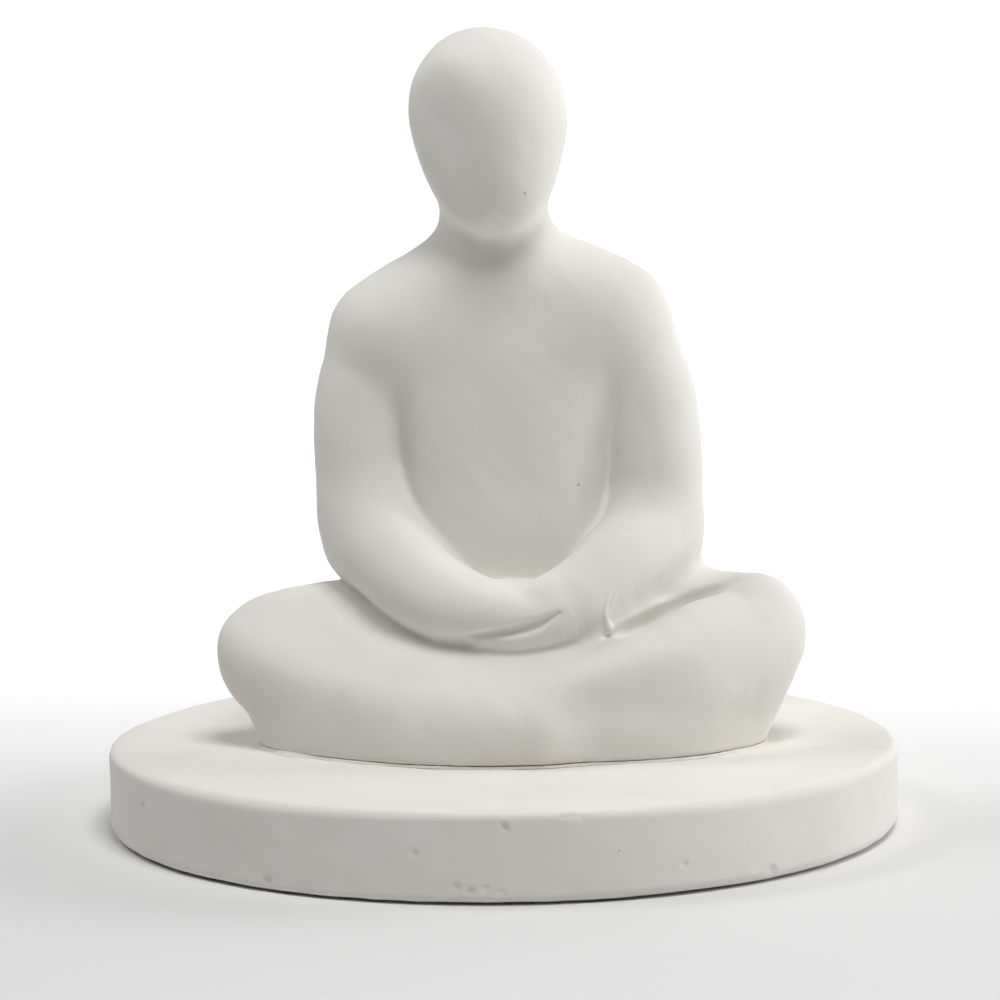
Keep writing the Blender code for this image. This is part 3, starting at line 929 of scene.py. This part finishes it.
place = add_node(paper, "ShaderNodeTexCoord").outputs["Object"]
split = add_node(paper, "ShaderNodeSeparateXYZ", {"Vector": place})
behind = add_node(paper, "ShaderNodeMapRange", {"Value": split.outputs["Y"], "From Min": -0.05,
                                                "From Max": 0.50, "To Min": 0.0, "To Max": 0.8},
                  interpolation_type="SMOOTHSTEP")
low_band = add_node(paper, "ShaderNodeMapRange", {"Value": split.outputs["Z"], "From Min": 0.40,
                                                  "From Max": 0.80, "To Min": 1.0, "To Max": 0.1},
                    interpolation_type="SMOOTHSTEP")
glow = add_node(paper, "ShaderNodeMath", {0: behind.outputs[0], 1: low_band.outputs[0]},
                operation="MULTIPLY")
shader = paper.node_tree.nodes["Principled BSDF"]
shader.inputs["Emission Color"].default_value = colour("#FFFFFF")
paper.node_tree.links.new(glow.outputs[0], shader.inputs["Emission Strength"])
floor.data.materials.append(paper)
floor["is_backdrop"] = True
print("floor:", rows - 1, "strips")

# %% [markdown]
# ## Lamps
#
# White plaster shows its form only by shading, so the lamps are few, soft and uneven. The
# strongest hangs high in front and lights every slope that looks up. One at each side draws the
# edges of the head and the arms, one behind on the right keeps that edge bright, and a very weak
# one in front opens the shadows.

# %% Lamps
LAMP_DISTANCE = 1.2
# Name, degrees round from the front, degrees up, width in metres, watts.
LAMPS = [("front_softbox", 15, 40, 0.5, 0.9), ("high_softbox", 22, 66, 0.45, 8.3),
         ("right_softbox", 98, 16, 0.5, 6.3), ("right_back_softbox", 140, 16, 0.5, 2.3),
         ("left_softbox", -98, 50, 0.5, 4.2)]
LIT_POINT = Vector((0, 0, 0.08))


def add_softbox(name, azimuth, elevation, size, watts):
    """Square lamp facing the figure, on a sphere round it; a positive azimuth is on the right."""
    a, e = math.radians(azimuth), math.radians(elevation)
    away = Vector((math.sin(a) * math.cos(e), -math.cos(a) * math.cos(e), math.sin(e)))
    lamp = bpy.data.lights.new(name, "AREA")
    lamp.size = size
    lamp.energy = watts
    obj = bpy.data.objects.new(name, lamp)
    obj.location = LIT_POINT + away * LAMP_DISTANCE
    obj.rotation_euler = (-away).to_track_quat("-Z", "Y").to_euler()
    bpy.context.scene.collection.objects.link(obj)


for lamp_settings in LAMPS:
    add_softbox(*lamp_settings)
room = bpy.data.worlds.new("studio_room")
bpy.context.scene.world = room
room.use_nodes = True
room.node_tree.nodes["Background"].inputs["Color"].default_value = colour("#FFFFFF")
room.node_tree.nodes["Background"].inputs["Strength"].default_value = 0.03
bpy.context.scene.view_settings.view_transform = "Standard"
print("lamps:", ", ".join(lamp[0] for lamp in LAMPS))

# %% [markdown]
# ## Camera
#
# A long lens at a shelf's distance, a little above the figure's chest and looking slightly down,
# so that the plinth's top shows as a narrow oval. The camera is rolled by a fraction of a degree.

# %% Camera
CAMERA_ASIDE, CAMERA_DISTANCE, CAMERA_HEIGHT = -0.00023, 0.700, 0.1430
CAMERA_PITCH, CAMERA_ROLL = math.radians(5.70), math.radians(0.63)
camera = bpy.data.objects.new("camera", bpy.data.cameras.new("camera"))
camera.data.sensor_width = 36.0
camera.data.lens = 111.4
camera.matrix_world = (Matrix.Translation((CAMERA_ASIDE, -CAMERA_DISTANCE, CAMERA_HEIGHT))
                       @ Matrix.Rotation(math.pi / 2 - CAMERA_PITCH, 4, "X")
                       @ Matrix.Rotation(-CAMERA_ROLL, 4, "Z"))
bpy.context.scene.collection.objects.link(camera)
bpy.context.scene.camera = camera
print(f"camera: {camera.data.lens} mm lens at {CAMERA_DISTANCE} m")

# %% [markdown]
# ## Measuring and finishing
#
# The box round everything visible is printed beside the box of the imported solids, so that the two
# can be compared.

# %% Finish
sizes = {"cad": cad_box, "visual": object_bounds()}
{name: [[float(v) for v in corner] for corner in box] for name, box in sizes.items()}
print("sizes:", sizes)
